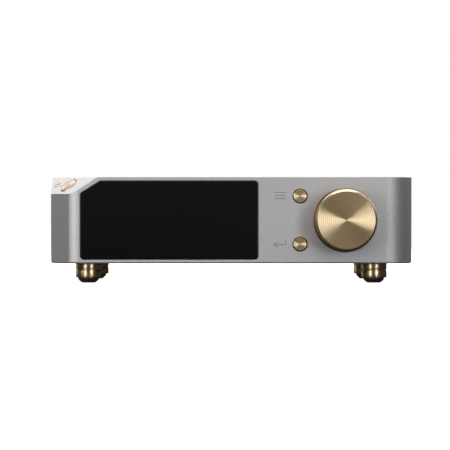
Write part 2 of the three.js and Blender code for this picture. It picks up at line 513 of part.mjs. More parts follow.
// ---------------------------------------------------------------- electronics
{
  const z = BOARD_Z0 + BOARD_T;
  let b = box(-15, 111, YF + 60, YF + 160, BOARD_Z0, z);
  const chips = [[-5, 10, 80, 95, 2], [15, 23, 84, 92, 1.5], [0, 8, 110, 118, 1.5], [88, 96, 92, 100, 1.5], [88, 96, 112, 120, 1.5], [15, 30, 138, 148, 3]];
  for (const [x0, x1, d0, d1, h] of chips) b = b.add(box(x0, x1, YF + d0, YF + d1, z - 0.5, z + h));
  for (const [x, d, r, h] of [[30, 72, 5, 14], [44, 72, 5, 14], [58, 72, 5, 14], [72, 72, 5, 14], [100, 76, 4, 11]]) b = b.add(cylZ(x, YF + d, r, z - 0.5, z + h, 12));
  put('main_board', b, 'board');
  let can = box(35, 80, YF + 90, YF + 128, z + GAP, z + 9);
  can = can.subtract(box(36, 79, YF + 91, YF + 127, z - 1, z + 8));
  put('shield_can', can, 'steel');
  let p = box(-116, -41, YF + 127, YF + 161, BOARD_Z0, z);
  for (const [x, d] of [[-100, 138], [-80, 138], [-60, 138]]) p = p.add(cylZ(x, YF + d, 8, z - 0.5, z + 24, 14));
  p = p.add(box(-56, -44, YF + 150, YF + 158, z - 0.5, z + 20));
  put('psu_board', p, 'board');
  put('transformer', turnZ([
    [9, PLATE_Z1 + 2.3], [11, PLATE_Z1 + GAP], [28, PLATE_Z1 + GAP], [31, PLATE_Z1 + 3.3], [31, PLATE_Z1 + 27], [28, PLATE_Z1 + 30], [11, PLATE_Z1 + 30], [9, PLATE_Z1 + 28], [9, PLATE_Z1 + 2.3],
  ], TRAFO[0], YF + TRAFO[1], 24), 'copper');
  put('transformer_bolt', turnZ([
    [0, PLATE_Z0], [2.7, PLATE_Z0], [2.7, PLATE_Z1 + 30.3], [16, PLATE_Z1 + 30.3], [16, PLATE_Z1 + 31.8], [5, PLATE_Z1 + 31.8], [5, PLATE_Z1 + 35], [0, PLATE_Z1 + 35],
  ], TRAFO[0], YF + TRAFO[1], 14), 'steel');
}

export default model;
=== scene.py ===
import math
import random

import bmesh
import bpy
import numpy as np
from mathutils import Matrix, Vector


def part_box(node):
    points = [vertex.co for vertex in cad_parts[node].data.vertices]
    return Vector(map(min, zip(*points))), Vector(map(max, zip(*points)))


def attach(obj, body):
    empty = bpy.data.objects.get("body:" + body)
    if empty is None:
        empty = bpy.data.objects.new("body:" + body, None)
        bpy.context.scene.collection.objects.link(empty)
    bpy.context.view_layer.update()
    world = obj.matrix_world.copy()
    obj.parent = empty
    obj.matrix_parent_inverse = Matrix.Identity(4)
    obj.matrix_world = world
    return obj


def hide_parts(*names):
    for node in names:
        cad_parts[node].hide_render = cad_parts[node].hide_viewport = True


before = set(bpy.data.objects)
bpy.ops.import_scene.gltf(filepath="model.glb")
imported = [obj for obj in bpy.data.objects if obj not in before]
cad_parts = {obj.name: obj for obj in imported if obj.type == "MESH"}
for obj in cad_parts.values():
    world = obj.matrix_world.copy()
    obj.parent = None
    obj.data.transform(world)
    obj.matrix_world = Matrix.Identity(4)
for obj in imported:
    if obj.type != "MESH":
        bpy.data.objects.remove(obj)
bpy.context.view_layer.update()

MM = 0.001
scene = bpy.context.scene
random.seed(7)


# ------------------------------------------------------------------ places, read from the CAD parts, with the cut facet and the left blend given as numbers
def ends(node):
    lo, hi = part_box(node)
    return lo / MM, hi / MM


shell_lo, shell_hi = ends("main_shell")
YF, YR, Z0, Z1 = shell_lo[1], shell_hi[1], shell_lo[2], shell_hi[2]
HW = shell_hi[0]
ZC = (Z0 + Z1) / 2
knob_lo, knob_hi = ends("volume_knob")
KX, KZ, KR = (knob_lo[0] + knob_hi[0]) / 2, (knob_lo[2] + knob_hi[2]) / 2, (knob_hi[0] - knob_lo[0]) / 2
KF, KB = knob_lo[1], knob_hi[1]
menu_lo, menu_hi = ends("menu_button")
ret_lo, ret_hi = ends("return_button")
BX = (menu_lo[0] + menu_hi[0]) / 2
BZ = {"menu": (menu_lo[2] + menu_hi[2]) / 2, "return": (ret_lo[2] + ret_hi[2]) / 2}
panel_lo, panel_hi = ends("rear_panel")
RB = panel_hi[1]

CUT_X, CUT_SX, CUT_SY = -95.4, 0.640, 0.494
BLEND_X0, BLEND_X1, BLEND_Y, CHAMFER_TAN = -108.7, -116.2, 2.7, 1.2955
cutN = Vector((-CUT_SX, -CUT_SY, 1)).normalized()
cutU = Vector((-CUT_SY, CUT_SX, 0)).normalized()
cutV = cutN.cross(cutU).normalized()
cutAt = Vector((CUT_X, YF, Z1))
PWR = Vector((-117.3, YF + 16.6, Z1 + CUT_SX * (-117.3 - CUT_X) + CUT_SY * 16.6))


# ------------------------------------------------------------------ mesh tools
def link(ob):
    scene.collection.objects.link(ob)
    return ob


def finish_mesh(me, smooth):
    bm = bmesh.new()
    bm.from_mesh(me)
    bmesh.ops.recalc_face_normals(bm, faces=bm.faces)
    bm.to_mesh(me)
    bm.free()
    me.polygons.foreach_set("use_smooth", [True] * len(me.polygons))
    if smooth is not None:
        me.set_sharp_from_angle(angle=math.radians(smooth))
    me.update()


def mesh_object(name, verts, faces, smooth=30):
    me = bpy.data.meshes.new(name)
    me.from_pydata([tuple(c * MM for c in v) for v in verts], [], faces)
    finish_mesh(me, smooth)
    return link(bpy.data.objects.new(name, me))


def basis(axis):
    a = Vector(axis).normalized()
    p = Vector((1, 0, 0)) if abs(a.x) < 0.9 else Vector((0, 1, 0))
    p = (p - a * p.dot(a)).normalized()
    return a, p, a.cross(p)


def lathe(name, profile, origin, axis, segs=96, smooth=30, closed=False):
    """profile of (radius, height along axis), turned about the axis"""
    a, p, q = basis(axis)
    o = Vector(origin)
    verts, rings = [], []
    for r, h in profile:
        if r < 1e-6:
            rings.append([len(verts)])
            verts.append(o + a * h)
        else:
            rings.append(list(range(len(verts), len(verts) + segs)))
            for i in range(segs):
                t = 2 * math.pi * i / segs
                verts.append(o + a * h + (p * math.cos(t) + q * math.sin(t)) * r)
    faces = []
    pairs = list(zip(rings, rings[1:]))
    if closed:
        pairs.append((rings[-1], rings[0]))
    for r0, r1 in pairs:
        for i in range(segs):
            j = (i + 1) % segs
            if len(r0) == 1 and len(r1) == 1:
                continue
            if len(r0) == 1:
                faces.append((r0[0], r1[i], r1[j]))
            elif len(r1) == 1:
                faces.append((r0[i], r1[0], r0[j]))
            else:
                faces.append((r0[i], r1[i], r1[j], r0[j]))
    return mesh_object(name, verts, faces, smooth)


def round_line(points, radii, n=4, closed=False):
    """polyline with each corner rounded to its own radius"""
    out = []
    N = len(points)
    for i, (pt, r) in enumerate(zip(points, radii)):
        if not r or (not closed and i in (0, N - 1)):
            out.append(tuple(pt))
            continue
        P = Vector(pt)
        A = (Vector(points[(i - 1) % N]) - P)
        B = (Vector(points[(i + 1) % N]) - P)
        la, lb = A.length, B.length
        A.normalize()
        B.normalize()
        d = max(-1, min(1, A.dot(B)))
        half = math.acos(d) / 2
        if half < 1e-4 or half > math.pi / 2 - 1e-4:
            out.append(tuple(pt))
            continue
        t = min(r / math.tan(half), la * 0.49, lb * 0.49)
        rr = t * math.tan(half)
        c = P + (A + B).normalized() * (rr / math.sin(half))
        s, e = P + A * t - c, P + B * t - c
        a0 = math.atan2(s.y, s.x)
        da = math.atan2(e.y, e.x) - a0
        while da > math.pi:
            da -= 2 * math.pi
        while da < -math.pi:
            da += 2 * math.pi
        for k in range(n + 1):
            out.append((c.x + rr * math.cos(a0 + da * k / n), c.y + rr * math.sin(a0 + da * k / n)))
    return out


def inset(points, d):
    """closed anticlockwise outline moved inwards by d"""
    N = len(points)
    lines = []
    for i in range(N):
        p, q = points[i], points[(i + 1) % N]
        dx, dy = q[0] - p[0], q[1] - p[1]
        l = math.hypot(dx, dy)
        lines.append((p[0] - dy / l * d, p[1] + dx / l * d, dx / l, dy / l))
    out = []
    for i in range(N):
        a, b = lines[i - 1], lines[i]
        det = a[2] * b[3] - a[3] * b[2]
        if abs(det) < 1e-7:
            out.append((b[0], b[1]))
            continue
        t = ((b[0] - a[0]) * b[3] - (b[1] - a[1]) * b[2]) / det
        out.append((a[0] + a[2] * t, a[1] + a[3] * t))
    return out


def arc(cx, cy, r, a0, a1, n):
    return [(cx + r * math.cos(math.radians(a0 + (a1 - a0) * i / n)), cy + r * math.sin(math.radians(a0 + (a1 - a0) * i / n))) for i in range(n + 1)]


def stack(name, rings, place, smooth=30):
    """outlines of the same length, each at its own height, joined side by side and capped; place maps (a, b, h) to a point"""
    verts = [place(a, b, h) for line, h in rings for a, b in line]
    n = len(rings[0][0])
    faces = []
    for k in range(len(rings) - 1):
        for i in range(n):
            j = (i + 1) % n
            faces.append((k * n + i, k * n + j, (k + 1) * n + j, (k + 1) * n + i))
    faces.append(tuple(range(n))[::-1])
    faces.append(tuple((len(rings) - 1) * n + i for i in range(n)))
    return mesh_object(name, verts, faces, smooth)


def onZ(a, b, h):
    return (a, b, h)


def onY(a, b, h):
    return (a, h, b)


def onFacet(a, b, h):
    return tuple(PWR + cutU * a + cutV * b + cutN * h)


def plate(name, line, h0, h1, place=onZ, edge=0.0, smooth=30, steps=3):
    """a flat piece of the given outline, with rounded edges on both faces"""
    if not edge:
        return stack(name, [(line, h0), (line, h1)], place, smooth)
    rings = []
    for k in range(steps + 1):
        t = math.pi / 2 * k / steps
        rings.append((inset(line, edge * (1 - math.sin(t))), h0 + edge * (1 - math.cos(t))))
    for k in range(steps + 1):
        t = math.pi / 2 * k / steps
        rings.append((inset(line, edge * (1 - math.cos(t))), h1 - edge * (1 - math.sin(t))))
    return stack(name, rings, place, smooth)


def circle(x, y, r, n=64):
    return [(x + r * math.cos(2 * math.pi * i / n), y + r * math.sin(2 * math.pi * i / n)) for i in range(n)]


def rect(x0, x1, y0, y1):
    return [(x0, y0), (x1, y0), (x1, y1), (x0, y1)]


def evaluated(ob):
    dg = bpy.context.evaluated_depsgraph_get()
    me = bpy.data.meshes.new_from_object(ob.evaluated_get(dg), depsgraph=dg)
    old = ob.data
    ob.modifiers.clear()
    ob.data = me
    bpy.data.meshes.remove(old)
    return ob


def boolean(ob, tool, operation="DIFFERENCE"):
    m = ob.modifiers.new("b", "BOOLEAN")
    m.operation = operation
    m.solver = "EXACT"
    m.object = tool
    evaluated(ob)
    bpy.data.objects.remove(tool)
    return ob


def bevel(ob, width, segments=3, angle=30, harden=True):
    m = ob.modifiers.new("bevel", "BEVEL")
    m.width = width * MM
    m.segments = segments
    m.limit_method = "ANGLE"
    m.angle_limit = math.radians(angle)
    m.harden_normals = harden
    m.miter_outer = "MITER_ARC"
    return ob


def apply(ob):
    return evaluated(ob)


def cut_by_plane(ob, at, normal):
    """keeps what is on the inner side of the plane and closes the cut"""
    bm = bmesh.new()
    bm.from_mesh(ob.data)
    r = bmesh.ops.bisect_plane(bm, geom=bm.verts[:] + bm.edges[:] + bm.faces[:], plane_co=Vector(at) * MM, plane_no=normal, clear_outer=True)
    edges = [e for e in r["geom_cut"] if isinstance(e, bmesh.types.BMEdge)]
    bmesh.ops.holes_fill(bm, edges=edges, sides=0)
    bmesh.ops.recalc_face_normals(bm, faces=bm.faces)
    bm.to_mesh(ob.data)
    bm.free()
    return ob


def joined(name, obs):
    """several meshes made into one object"""
    bm = bmesh.new()
    for o in obs:
        bm.from_mesh(o.data)
    me = bpy.data.meshes.new(name)
    bm.to_mesh(me)
    bm.free()
    for o in obs:
        bpy.data.objects.remove(o)
    finish_mesh(me, 30)
    return link(bpy.data.objects.new(name, me))


# ------------------------------------------------------------------ materials
def material(name):
    m = bpy.data.materials.new(name)
    m.use_nodes = True
    nt = m.node_tree
    return m, nt, nt.nodes["Principled BSDF"]


def add(nt, kind, **values):
    n = nt.nodes.new(kind)
    for k, v in values.items():
        if k in n.inputs:
            n.inputs[k].default_value = v
        else:
            setattr(n, k, v)
    return n


def noise(nt, scale, detail=2.0, rough=0.5, coord="Object"):
    tc = add(nt, "ShaderNodeTexCoord")
    n = add(nt, "ShaderNodeTexNoise", Scale=scale, Detail=detail, Roughness=rough)
    nt.links.new(tc.outputs[coord], n.inputs["Vector"])
    return n


def ranged(nt, source, lo, hi, f0=0.0, f1=1.0):
    r = add(nt, "ShaderNodeMapRange")
    r.inputs["From Min"].default_value = f0
    r.inputs["From Max"].default_value = f1
    r.inputs["To Min"].default_value = lo
    r.inputs["To Max"].default_value = hi
    nt.links.new(source, r.inputs["Value"])
    return r.outputs["Result"]


def tinted(nt, value, dark, light):
    mix = add(nt, "ShaderNodeMix", data_type="RGBA")
    mix.inputs[6].default_value = (*dark, 1)
    mix.inputs[7].default_value = (*light, 1)
    nt.links.new(value, mix.inputs[0])
    return mix.outputs[2]


def bumped(nt, bsdf, value, strength, distance):
    b = add(nt, "ShaderNodeBump", Strength=strength, Distance=distance)
    nt.links.new(value, b.inputs["Height"])
    nt.links.new(b.outputs["Normal"], bsdf.inputs["Normal"])
    return b


def scaled(color, k):
    return tuple(min(1.0, c * k) for c in color)


def blasted_metal(name, color, rough=0.56, grain=0.35, var=0.22):
    m, nt, b = material(name)
    b.inputs["Metallic"].default_value = 1.0
    fine = noise(nt, 5200, 3, 0.6)
    broad = noise(nt, 1000, 3, 0.6)
    mixv = add(nt, "ShaderNodeMath", operation="MULTIPLY_ADD")
    nt.links.new(fine.outputs["Fac"], mixv.inputs[0])
    mixv.inputs[1].default_value = 0.5
    half = add(nt, "ShaderNodeMath", operation="MULTIPLY")
    nt.links.new(broad.outputs["Fac"], half.inputs[0])
    half.inputs[1].default_value = 0.5
    nt.links.new(half.outputs[0], mixv.inputs[2])
    v = ranged(nt, mixv.outputs[0], 0, 1, 0.3, 0.7)
    nt.links.new(tinted(nt, v, scaled(color, 1 - var), scaled(color, 1 + var)), b.inputs["Base Color"])
    nt.links.new(ranged(nt, v, rough - 0.05, rough + 0.05), b.inputs["Roughness"])
    bumped(nt, b, fine.outputs["Fac"], grain, 0.00004)
    return m


def turned_metal(name, color, rough=0.33, aniso=0.9, axis="Y", rotation=0.25, streak=0.04, centre=(0, 0, 0), pitch=0.0, painted_ring_shade=0.0):
    """metal with the marks of turning round the given axis: random tone along the radius and, when asked, a cosine of
    the radius at the given pitch that paints the light and shade of the finest turned rings into the colour
    """
    m, nt, b = material(name)
    b.inputs["Metallic"].default_value = 1.0
    b.inputs["Anisotropic"].default_value = aniso
    b.inputs["Anisotropic Rotation"].default_value = rotation
    t = add(nt, "ShaderNodeTangent", direction_type="RADIAL", axis=axis)
    nt.links.new(t.outputs["Tangent"], b.inputs["Tangent"])
    tc = add(nt, "ShaderNodeTexCoord")
    off = add(nt, "ShaderNodeVectorMath", operation="SUBTRACT")
    off.inputs[1].default_value = [c * MM for c in centre]
    nt.links.new(tc.outputs["Object"], off.inputs[0])
    flat = add(nt, "ShaderNodeVectorMath", operation="MULTIPLY")
    flat.inputs[1].default_value = (1, 0, 1) if axis == "Y" else (1, 1, 0)
    nt.links.new(off.outputs["Vector"], flat.inputs[0])
    rad = add(nt, "ShaderNodeVectorMath", operation="LENGTH")
    nt.links.new(flat.outputs["Vector"], rad.inputs[0])
    rings = add(nt, "ShaderNodeTexNoise", noise_dimensions="1D", Scale=5200.0, Detail=1.0, Roughness=0.5)
    nt.links.new(rad.outputs["Value"], rings.inputs["W"])
    v = ranged(nt, rings.outputs["Fac"], 0, 1, 0.3, 0.7)
    tone = tinted(nt, v, scaled(color, 1 - streak), scaled(color, 1 + streak))
    # painted highlight and shade: the colour brightens and darkens along the radius at the ring pitch, standing in for
    # light off the turned rings
    if painted_ring_shade:
        turns = add(nt, "ShaderNodeMath", operation="MULTIPLY")
        nt.links.new(rad.outputs["Value"], turns.inputs[0])
        turns.inputs[1].default_value = 2 * math.pi / (pitch * MM)
        wave = add(nt, "ShaderNodeMath", operation="COSINE")
        nt.links.new(turns.outputs[0], wave.inputs[0])
        shade = add(nt, "ShaderNodeVectorMath", operation="SCALE")
        nt.links.new(tone, shade.inputs[0])
        nt.links.new(ranged(nt, wave.outputs[0], 1 - painted_ring_shade, 1 + painted_ring_shade, -1, 1), shade.inputs["Scale"])
        tone = shade.outputs["Vector"]
    nt.links.new(tone, b.inputs["Base Color"])
    b.inputs["Roughness"].default_value = rough
    return m


def smooth_metal(name, color, rough=0.2, var=0.06, rough_var=0.03):
    m, nt, b = material(name)
    b.inputs["Metallic"].default_value = 1.0
    n = noise(nt, 1400, 3, 0.6)
    v = ranged(nt, n.outputs["Fac"], 0, 1, 0.3, 0.7)
    nt.links.new(tinted(nt, v, scaled(color, 1 - var), scaled(color, 1 + var)), b.inputs["Base Color"])
    nt.links.new(ranged(nt, v, rough - rough_var, rough + rough_var), b.inputs["Roughness"])
    return m


def plastic(name, color, rough=0.5, grain=0.2, scale=4000, coat=0.0):
    m, nt, b = material(name)
    n = noise(nt, scale, 3, 0.6)
    v = ranged(nt, n.outputs["Fac"], 0, 1, 0.3, 0.7)
    nt.links.new(tinted(nt, v, scaled(color, 0.85), scaled(color, 1.15)), b.inputs["Base Color"])
    nt.links.new(ranged(nt, v, rough - 0.05, rough + 0.05), b.inputs["Roughness"])
    b.inputs["Coat Weight"].default_value = coat
    bumped(nt, b, n.outputs["Fac"], grain, 0.00005)
    return m


SILVER = (0.572, 0.552, 0.549)
GOLD = (0.80, 0.58, 0.345)
M = {}
M["silver"] = blasted_metal("silver_blasted", SILVER)
# painted shade: darker grey for the menu and return icons, standing in for the shade inside engraved grooves
M["mark"] = blasted_metal("icon_painted_shade", (0.36, 0.36, 0.37), 0.6)
# painted shade: near black for the power icon on the bright facet, standing in for the shade inside engraved grooves
M["mark_dark"] = plastic("power_icon_painted_shade", (0.05, 0.05, 0.052), 0.6)
M["gold_face"] = turned_metal("gold_turned_face", GOLD, 0.29, 0.95, centre=(KX, 0, KZ), pitch=1.43, painted_ring_shade=0.13)
M["menu_face"] = turned_metal("gold_turned_menu_key", GOLD, 0.33, 0.88, centre=(BX, 0, BZ["menu"]), pitch=1.43, painted_ring_shade=0.07)
M["return_face"] = turned_metal("gold_turned_return_key", GOLD, 0.33, 0.88, centre=(BX, 0, BZ["return"]), pitch=1.43, painted_ring_shade=0.07)
# painted highlight: a lighter, creamier copy of the gold for the knob's bevel, standing in for its highlight
M["gold_bevel_painted_highlight"] = smooth_metal("gold_bevel_painted_highlight", (0.90, 0.72, 0.50), 0.29, 0.03)
M["bronze"] = smooth_metal("bronze_turned", (0.56, 0.395, 0.235), 0.27, 0.015, 0.002)
# painted shade: a darker copy of the gold for the knob's side wall and the small keys' sides, which sit in shade
M["gold_painted_shade"] = smooth_metal("knob_side_painted_shade", (0.26, 0.165, 0.09), 0.36, 0.03)
# painted shade: a darker copy of the gold for the knob's step, which sits in shade
M["gold_step_painted_shade"] = smooth_metal("knob_step_painted_shade", (0.27, 0.17, 0.09), 0.42, 0.03)
M["key_edge"] = smooth_metal("gold_soft_edge", (0.52, 0.39, 0.27), 0.45, 0.03)
# the two painted-shade copies of the gold get a warm specular tint
for k in ("gold_painted_shade", "gold_step_painted_shade"):
    node = next(n for n in M[k].node_tree.nodes if n.type == "BSDF_PRINCIPLED")
    node.inputs["Specular Tint"].default_value = (0.5, 0.3, 0.17, 1)
M["glass"] = plastic("display_black_glass", (0.0058, 0.0058, 0.006), 0.06, 0.0)
M["rubber"] = plastic("rubber_black", (0.036, 0.024, 0.014), 0.36, 0.3)
M["black_metal"] = plastic("black_powder_coat", (0.018, 0.018, 0.02), 0.5, 0.5, 2600)
M["black_plastic"] = plastic("black_moulded", (0.014, 0.014, 0.015), 0.42, 0.3)
M["steel"] = smooth_metal("steel_plated", (0.50, 0.50, 0.52), 0.3)
M["dark_steel"] = smooth_metal("steel_black_oxide", (0.06, 0.06, 0.065), 0.35)
M["brass"] = smooth_metal("gold_plated", (0.86, 0.62, 0.28), 0.16)
M["board"] = plastic("solder_mask", (0.015, 0.07, 0.04), 0.35, 0.3, 1200, 0.3)
M["winding"] = plastic("winding_tape", (0.30, 0.13, 0.05), 0.5, 0.4, 500)
M["white_plastic"] = plastic("insulator_white", (0.62, 0.61, 0.58), 0.4, 0.1)
M["red_plastic"] = plastic("insulator_red", (0.45, 0.02, 0.015), 0.4, 0.1)
M["inside"] = plastic("display_inside", (0.004, 0.004, 0.005), 0.3, 0.1)


def dress(ob, key):
    ob.data.materials.clear()
    ob.data.materials.append(M[key])
    return ob


def piece(ob, key, body="chassis", replaces=()):
    dress(ob, key)
    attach(ob, body)
    if replaces:
        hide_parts(*replaces)
    return ob


# ------------------------------------------------------------------ case
blend_half = math.atan2(BLEND_Y, BLEND_X0 - BLEND_X1)
blend_deg = math.degrees(2 * blend_half)
blend_r = (BLEND_X0 - BLEND_X1) / math.sin(2 * blend_half)
chamfer_y = BLEND_Y + (HW + BLEND_X1) * CHAMFER_TAN
RIGHT_R, REAR_R, WALL, FRONT = 20.0, 3.0, 4.0, 7.0

outer = (
    arc(HW - RIGHT_R, YF + RIGHT_R, RIGHT_R, -90, 0, 40)
    + arc(HW - REAR_R, YR - REAR_R, REAR_R, 0, 90, 10)
    + arc(-HW + REAR_R, YR - REAR_R, REAR_R, 90, 180, 10)
    + [(-HW, YF + chamfer_y)]
    + arc(BLEND_X0, YF + blend_r, blend_r, -90 - blend_deg, -90, 20)
)
inner = [
    (112, YF + FRONT), (HW - WALL, YF + FRONT + 14), (HW - WALL, YR + 5), (-HW + WALL, YR + 5),
    (-HW + WALL, YF + 21.94), (-114.47, YF + FRONT),
]
BASE = 0.85   # chamfer round the underside
shell = stack("case_shell", [(inset(outer, BASE), Z0 - 0.27), (outer, Z0 + BASE - 0.27), (outer, Z1)], onZ, None)
cut_by_plane(shell, cutAt, cutN)
room = stack("room", [(inner, Z0 - 5), (inner, Z1 - WALL)], onZ, None)
cut_by_plane(room, cutAt - cutN * 5, cutN)
boolean(shell, room)

glass_lo, glass_hi = ends("display_glass")
GL, GR, GB, GT = glass_lo[0], glass_hi[0], glass_lo[2], glass_hi[2]
glass_corners = [(GL, GB), (GR, GB), (GR, GT), (-93.5, GT), (GL, ZC + 19.1)]
glass_line = round_line(glass_corners, [2.8, 2.8, 2.8, 2.0, 2.0], 8, True)
pocket_line = round_line(inset(glass_corners, -0.3), [3.1, 3.1, 3.1, 2.2, 2.2], 8, True)
lcd_lo, lcd_hi = ends("lcd_panel")
boolean(shell, stack("t", [(pocket_line, YF - 2), (pocket_line, YF + 3.6)], onY, None))
boolean(shell, stack("t", [(rect(lcd_lo[0] - 2, lcd_hi[0] + 2, lcd_lo[2] - 2, lcd_hi[2] + 2), YF + 1), (rect(lcd_lo[0] - 2, lcd_hi[0] + 2, lcd_lo[2] - 2, lcd_hi[2] + 2), YF + FRONT + 2)], onY, None))
boolean(shell, stack("t", [(circle(KX, KZ, 3.9, 40), YF - 2), (circle(KX, KZ, 3.9, 40), YF + FRONT + 2)], onY, None))
for z in BZ.values():
    boolean(shell, stack("t", [(circle(BX, z, 5.3, 72), YF - 2), (circle(BX, z, 5.3, 72), YF + FRONT + 2)], onY, None))
boolean(shell, stack("t", [(circle(0, 0, 6.65, 80), -9), (circle(0, 0, 6.65, 80), -0.5), (circle(0, 0, 7.2, 80), 0.05), (circle(0, 0, 7.2, 80), 3)], onFacet, None))
shell.data.polygons.foreach_set("use_smooth", [True] * len(shell.data.polygons))
bm = bmesh.new()
bm.from_mesh(shell.data)
bmesh.ops.remove_doubles(bm, verts=bm.verts, dist=1e-7)
bmesh.ops.dissolve_degenerate(bm, edges=bm.edges, dist=1e-7)
for e in bm.edges:
    if len(e.link_faces) == 2:
        ang = math.degrees(e.calc_face_angle(0))
        e.smooth = not (8 < ang < 28)
bm.to_mesh(shell.data)
bm.free()
bevel(shell, 0.38, 3, 30)
apply(shell)
piece(shell, "silver", "chassis", ["main_shell"])

# ------------------------------------------------------------------ display
glass = plate("display_pane", glass_line, YF, YF + 3.0, onY, 0.45, 40, 4)
piece(glass, "glass", "chassis", ["display_glass"])

# ------------------------------------------------------------------ volume knob
def grooved(r0, r1, h, pitch, depth, per=8):
    """ring profile with shallow turned grooves"""
    out = []
    n = max(1, int(round((r1 - r0) / pitch)))
    for i in range(n * per + 1):
        r = r0 + (r1 - r0) * i / (n * per)
        out.append((r, h + depth * 0.5 * (1 - math.cos(2 * math.pi * i / per))))
    return out


FACE_R = 20.3
length = KB - KF
WALL_R = KR - 1.0
face = [(0, 0.0)] + grooved(0.6, FACE_R - 0.35, 0.0, 1.43, 0.03)
rim = round_line(
    [(FACE_R - 0.35, 0.0), (FACE_R, 0.0), (WALL_R - 0.3, 1.15), (WALL_R, 1.9), (WALL_R, length - 4.5), (KR, length - 3.7), (KR, length - 0.6), (KR - 0.6, length), (18.5, length), (18.5, 7), (9, 7), (9, length - 6), (3.3, length - 6), (3.3, 6), (0, 6)],
    [0, 0.2, 0.6, 0.6, 0.3, 0.35, 0.3, 0.2, 0.3, 0.5, 0.5, 0.2, 0.2, 0, 0], 4)
knob = lathe("knob_body", face + rim[1:], (KX, KF, KZ), (0, 1, 0), 256, 24)
knob.data.materials.append(M["gold_face"])
knob.data.materials.append(M["gold_bevel_painted_highlight"])
knob.data.materials.append(M["gold_painted_shade"])
knob.data.materials.append(M["gold_step_painted_shade"])
# face: turned gold; bevel: lighter copy of the gold (painted highlight); step and side wall: darker copies (painted
# shade)
for p in knob.data.polygons:
    c = p.center / MM
    r = math.hypot(c.x - KX, c.z - KZ)
    step = KF + length - 4.55 < c.y < KF + length - 3.55
    p.material_index = 0 if (c.y < KF + 0.2 and r < FACE_R) else 1 if c.y < KF + 1.7 else 3 if step else 2
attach(knob, "knob")
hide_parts("volume_knob")

# ------------------------------------------------------------------ small buttons
for which, z in BZ.items():
    lo, hi = ends(f"{which}_button")
    l = hi[1] - lo[1]
    rb = 5.0
    prof = [(0, 0.0)] + grooved(0.4, rb - 0.75, 0.0, 1.4, 0.016, 6)
    tail = round_line([(rb - 0.75, 0), (rb - 0.55, 0), (rb, 0.6), (rb, l - 3.2), (6.4, l - 3.2), (6.4, l - 2.2), (1.8, l - 2.2), (1.8, l), (0, l)],
                      [0, 0.3, 0.35, 0.2, 0.2, 0.2, 0.3, 0.2, 0], 4)
    b = lathe(f"{which}_key", prof + tail[1:], (BX, lo[1], z), (0, 1, 0), 128, 24)
    b.data.materials.append(M[f"{which}_face"])
    # the key's side in the darker copy of the gold, painted shade
    b.data.materials.append(M["gold_painted_shade"])
    for p in b.data.polygons:
        c = p.center / MM
        p.material_index = 0 if (c.y < lo[1] + 0.1) else 1
    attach(b, f"{which}_key")
    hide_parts(f"{which}_button")

# ------------------------------------------------------------------ power button on the cut facet
dome = [(5.2 * i / 24, 0.70 - 0.42 * (i / 24) ** 2) for i in range(25)]
tail = round_line([(5.2, 0.28), (5.95, 0.12), (6.35, -0.35), (6.35, -5.3), (8.0, -5.3), (8.0, -6.5), (1.8, -6.5), (1.8, -8.6), (0, -8.6)],
                  [0, 0.3, 0.4, 0.2, 0.2, 0.2, 0.2, 0.2, 0], 4)
pb = lathe("power_key", dome + tail[1:], (0, 0, 0), (0, 0, 1), 128, 24)
pb.matrix_world = Matrix.Translation(PWR * MM) @ cutN.to_track_quat("Z", "Y").to_matrix().to_4x4()
M["power_face"] = turned_metal("gold_turned_power_key", (0.395, 0.302, 0.205), 0.36, 0.8, "Z")
pb.data.materials.append(M["power_face"])
pb.data.materials.append(M["key_edge"])
for p in pb.data.polygons:
    c = p.center / MM
    p.material_index = 0 if (c.z > 0.12 and math.hypot(c.x, c.y) < 5.5) else 1
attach(pb, "power_key")
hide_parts("power_button")

# ------------------------------------------------------------------ icon marks: menu, return and power, thin plates whose darker colour is painted shade of engraved grooves
ft_lo, ft_hi = YF - 0.03, YF + 0.15
for i, dz in enumerate((17.5 + 2.2, 17.5, 17.5 - 2.2)):
    line = round_line(rect(35.0 - 4.1, 35.0 + 4.1, ZC + dz - 0.38, ZC + dz + 0.38), [0.3] * 4, 4, True)
    piece(plate(f"menu_mark_{i + 1}", line, ft_lo, ft_hi, onY), "mark", "chassis")
zr = ZC - 17.4
arrow = [(29.4, zr), (33.0, zr - 2.0), (33.6, zr - 1.35), (31.7, zr - 0.36), (39.3, zr - 0.36), (39.3, zr + 3.1), (38.55, zr + 3.1), (38.55, zr + 0.36), (31.7, zr + 0.36), (33.6, zr + 1.35), (33.0, zr + 2.0)]
piece(plate("return_mark", arrow, ft_lo, ft_hi, onY), "mark", "chassis")
pc = Vector((14.3, -0.4))


def power_ring(r0, r1, gap, n=28):
    a0, a1 = gap, 2 * math.pi - gap
    up = math.pi * 1.5
    pts = []
    for i in range(n + 1):
        t = up + a0 + (a1 - a0) * i / n
        pts.append((pc.x + r1 * math.cos(t), pc.y + r1 * math.sin(t)))
    for i in range(n, -1, -1):
        t = up + a0 + (a1 - a0) * i / n
        pts.append((pc.x + r0 * math.cos(t), pc.y + r0 * math.sin(t)))
    return pts


piece(plate("power_mark_ring", power_ring(2.05, 2.65, 0.62), -0.15, 0.03, onFacet), "mark_dark", "chassis")
piece(plate("power_mark_bar", rect(pc.x - 0.3, pc.x + 0.3, pc.y - 3.0, pc.y - 0.3), -0.15, 0.03, onFacet), "mark_dark", "chassis")

